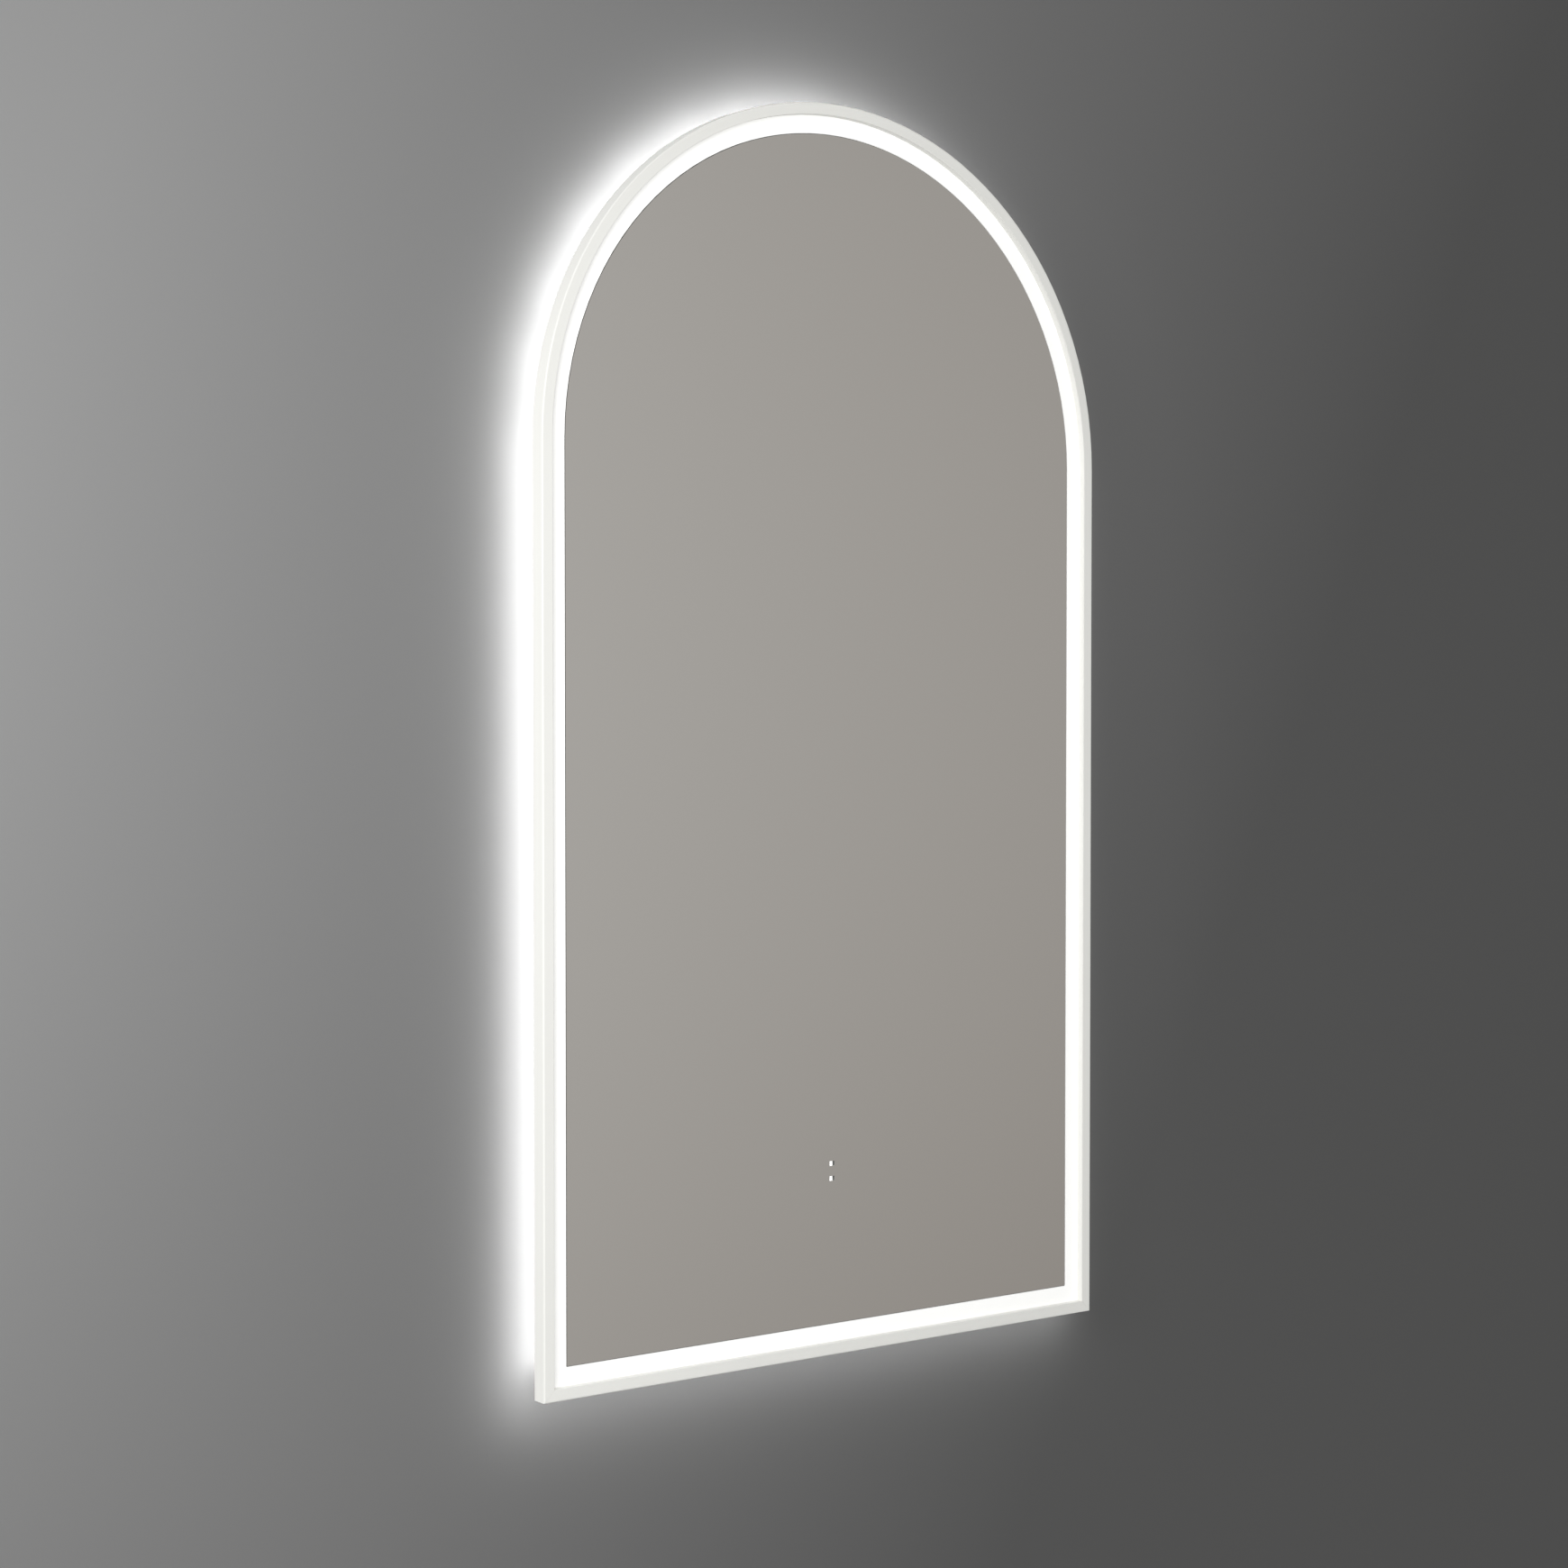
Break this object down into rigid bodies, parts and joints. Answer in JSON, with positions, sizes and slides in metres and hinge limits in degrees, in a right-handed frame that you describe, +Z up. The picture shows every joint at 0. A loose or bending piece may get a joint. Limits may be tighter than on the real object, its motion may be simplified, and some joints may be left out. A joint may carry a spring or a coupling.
{
  "type": "lighted bathroom mirror",
  "caption": "Arch-topped wall mirror in a slim white metal frame, with a lit band round the glass, a rear glow for the wall, touch windows and a lift-off hanging rail.",
  "frame": {"origin": "on the wall plane at the middle of the wall rail's screw line, level with the arch's centre", "axes": "+Z up, +Y into the wall, +X to the viewer's right; the mirror faces -Y"},
  "size_m": [0.5, 0.04, 0.8999],
  "materials": {
    "white_frame_coat": "fine satin white powder coat",
    "mill_aluminium": "extruded, lightly brushed",
    "silvered_glass": "polished silvered float glass",
    "safety_film": "matte vinyl backing",
    "opal_acrylic": "satin opal, lit from behind",
    "white_moulding": "fine moulded grain",
    "foam_tape": "closed-cell foam",
    "led_tape_board": "white flexible board",
    "led_phosphor": "silicone over phosphor",
    "white_pan_coat": "satin powder coat",
    "zinc_screws": "bright zinc plate",
    "brass_terminals": "nickel-free brass",
    "black_rubber": "matte",
    "black_nylon": "moulded",
    "terminal_nylon": "moulded",
    "green_circuit_board": "solder mask",
    "transformer_core": "ferrite and tape",
    "capacitor_sleeve": "shrink sleeve",
    "heating_film": "clear film over foil track",
    "light_guide_acrylic": "satin, lit from behind",
    "lead_white_pvc": "extruded",
    "lead_earth_pvc": "extruded"
  },
  "bodies": {
    "wall_mount": {"wall_rail": "mill_aluminium"},
    "mirror_unit": {"back_pan": "white_pan_coat", "bumper_screws": "zinc_screws", "cable_clamp": "black_nylon", "cable_clamp_screws": "zinc_screws", "cable_inlet_grommet": "black_rubber", "corner_key_screws": "zinc_screws", "demister_pad": "heating_film", "driver_capacitors": "capacitor_sleeve", "driver_case": "mill_aluminium", "driver_circuit_board": "green_circuit_board", "driver_fixing_screws": "zinc_screws", "driver_lid": "mill_aluminium", "driver_transformer": "transformer_core", "earth_nut": "zinc_screws", "earth_stud": "zinc_screws", "electrics_box": "white_moulding", "electrics_box_gasket": "foam_tape", "electrics_box_screws": "zinc_screws", "electrics_cover": "white_moulding", "electrics_cover_screws": "zinc_screws", "frame_arch": "white_frame_coat", "frame_bottom_rail": "white_frame_coat", "frame_corner_keys": "mill_aluminium", "front_diffuser": "opal_acrylic", "front_led_chips": "led_phosphor", "front_led_tape": "led_tape_board", "hanger_nuts": "zinc_screws", "hanger_rail": "mill_aluminium", "hanger_screws": "zinc_screws", "lead_demister": "lead_white_pvc", "lead_earth": "lead_earth_pvc", "lead_front_led": "lead_white_pvc", "lead_mains": "lead_white_pvc", "lead_rear_led": "lead_white_pvc", "lead_touch_sensor": "lead_white_pvc", "mirror_bonding_tape": "foam_tape", "mirror_glass": "silvered_glass", "mirror_safety_film": "safety_film", "mirror_support_ring": "white_moulding", "pan_screws": "zinc_screws", "rear_diffuser": "opal_acrylic", "rear_lead_grommet": "black_rubber", "rear_led_chips": "led_phosphor", "rear_led_tape": "led_tape_board", "terminal_block": "terminal_nylon", "terminal_screws": "brass_terminals", "touch_light_guides": "light_guide_acrylic", "touch_sensor_board": "green_circuit_board", "touch_sensor_housing": "black_nylon", "wall_bumpers": "black_rubber"}
  },
  "joints": [
    {"name": "lift_off", "type": "slide", "parent": "wall_mount", "child": "mirror_unit", "axis": [0, 0, 1], "range_m": [0, 0.012]}
  ]
}
